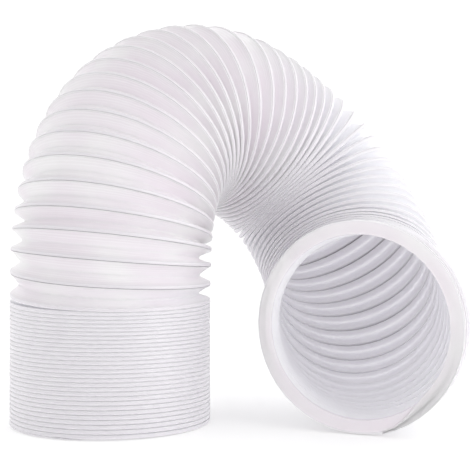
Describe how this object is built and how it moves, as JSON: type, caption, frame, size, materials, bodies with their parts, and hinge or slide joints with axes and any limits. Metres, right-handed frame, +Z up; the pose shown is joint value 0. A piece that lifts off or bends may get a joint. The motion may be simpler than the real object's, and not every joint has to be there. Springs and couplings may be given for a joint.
{
  "type": "air conditioner exhaust hose",
  "caption": "Flexible spiral-wound exhaust hose with pleated walls, standing on its packed foot and arched over so that its open mouth lies on the floor.",
  "frame": {"origin": "middle of the box around the hose, at the level of the floor that it stands on", "axes": "+Z up from the floor, +X from the packed foot towards the mouth's side, -Y towards the front, where the mouth opens"},
  "size_m": [0.3428, 0.284, 0.3132],
  "materials": {
    "white_plastic": "semi-gloss, slightly translucent white polypropylene"
  },
  "bodies": {
    "root": {"hose": "white_plastic"}
  },
  "joints": []
}
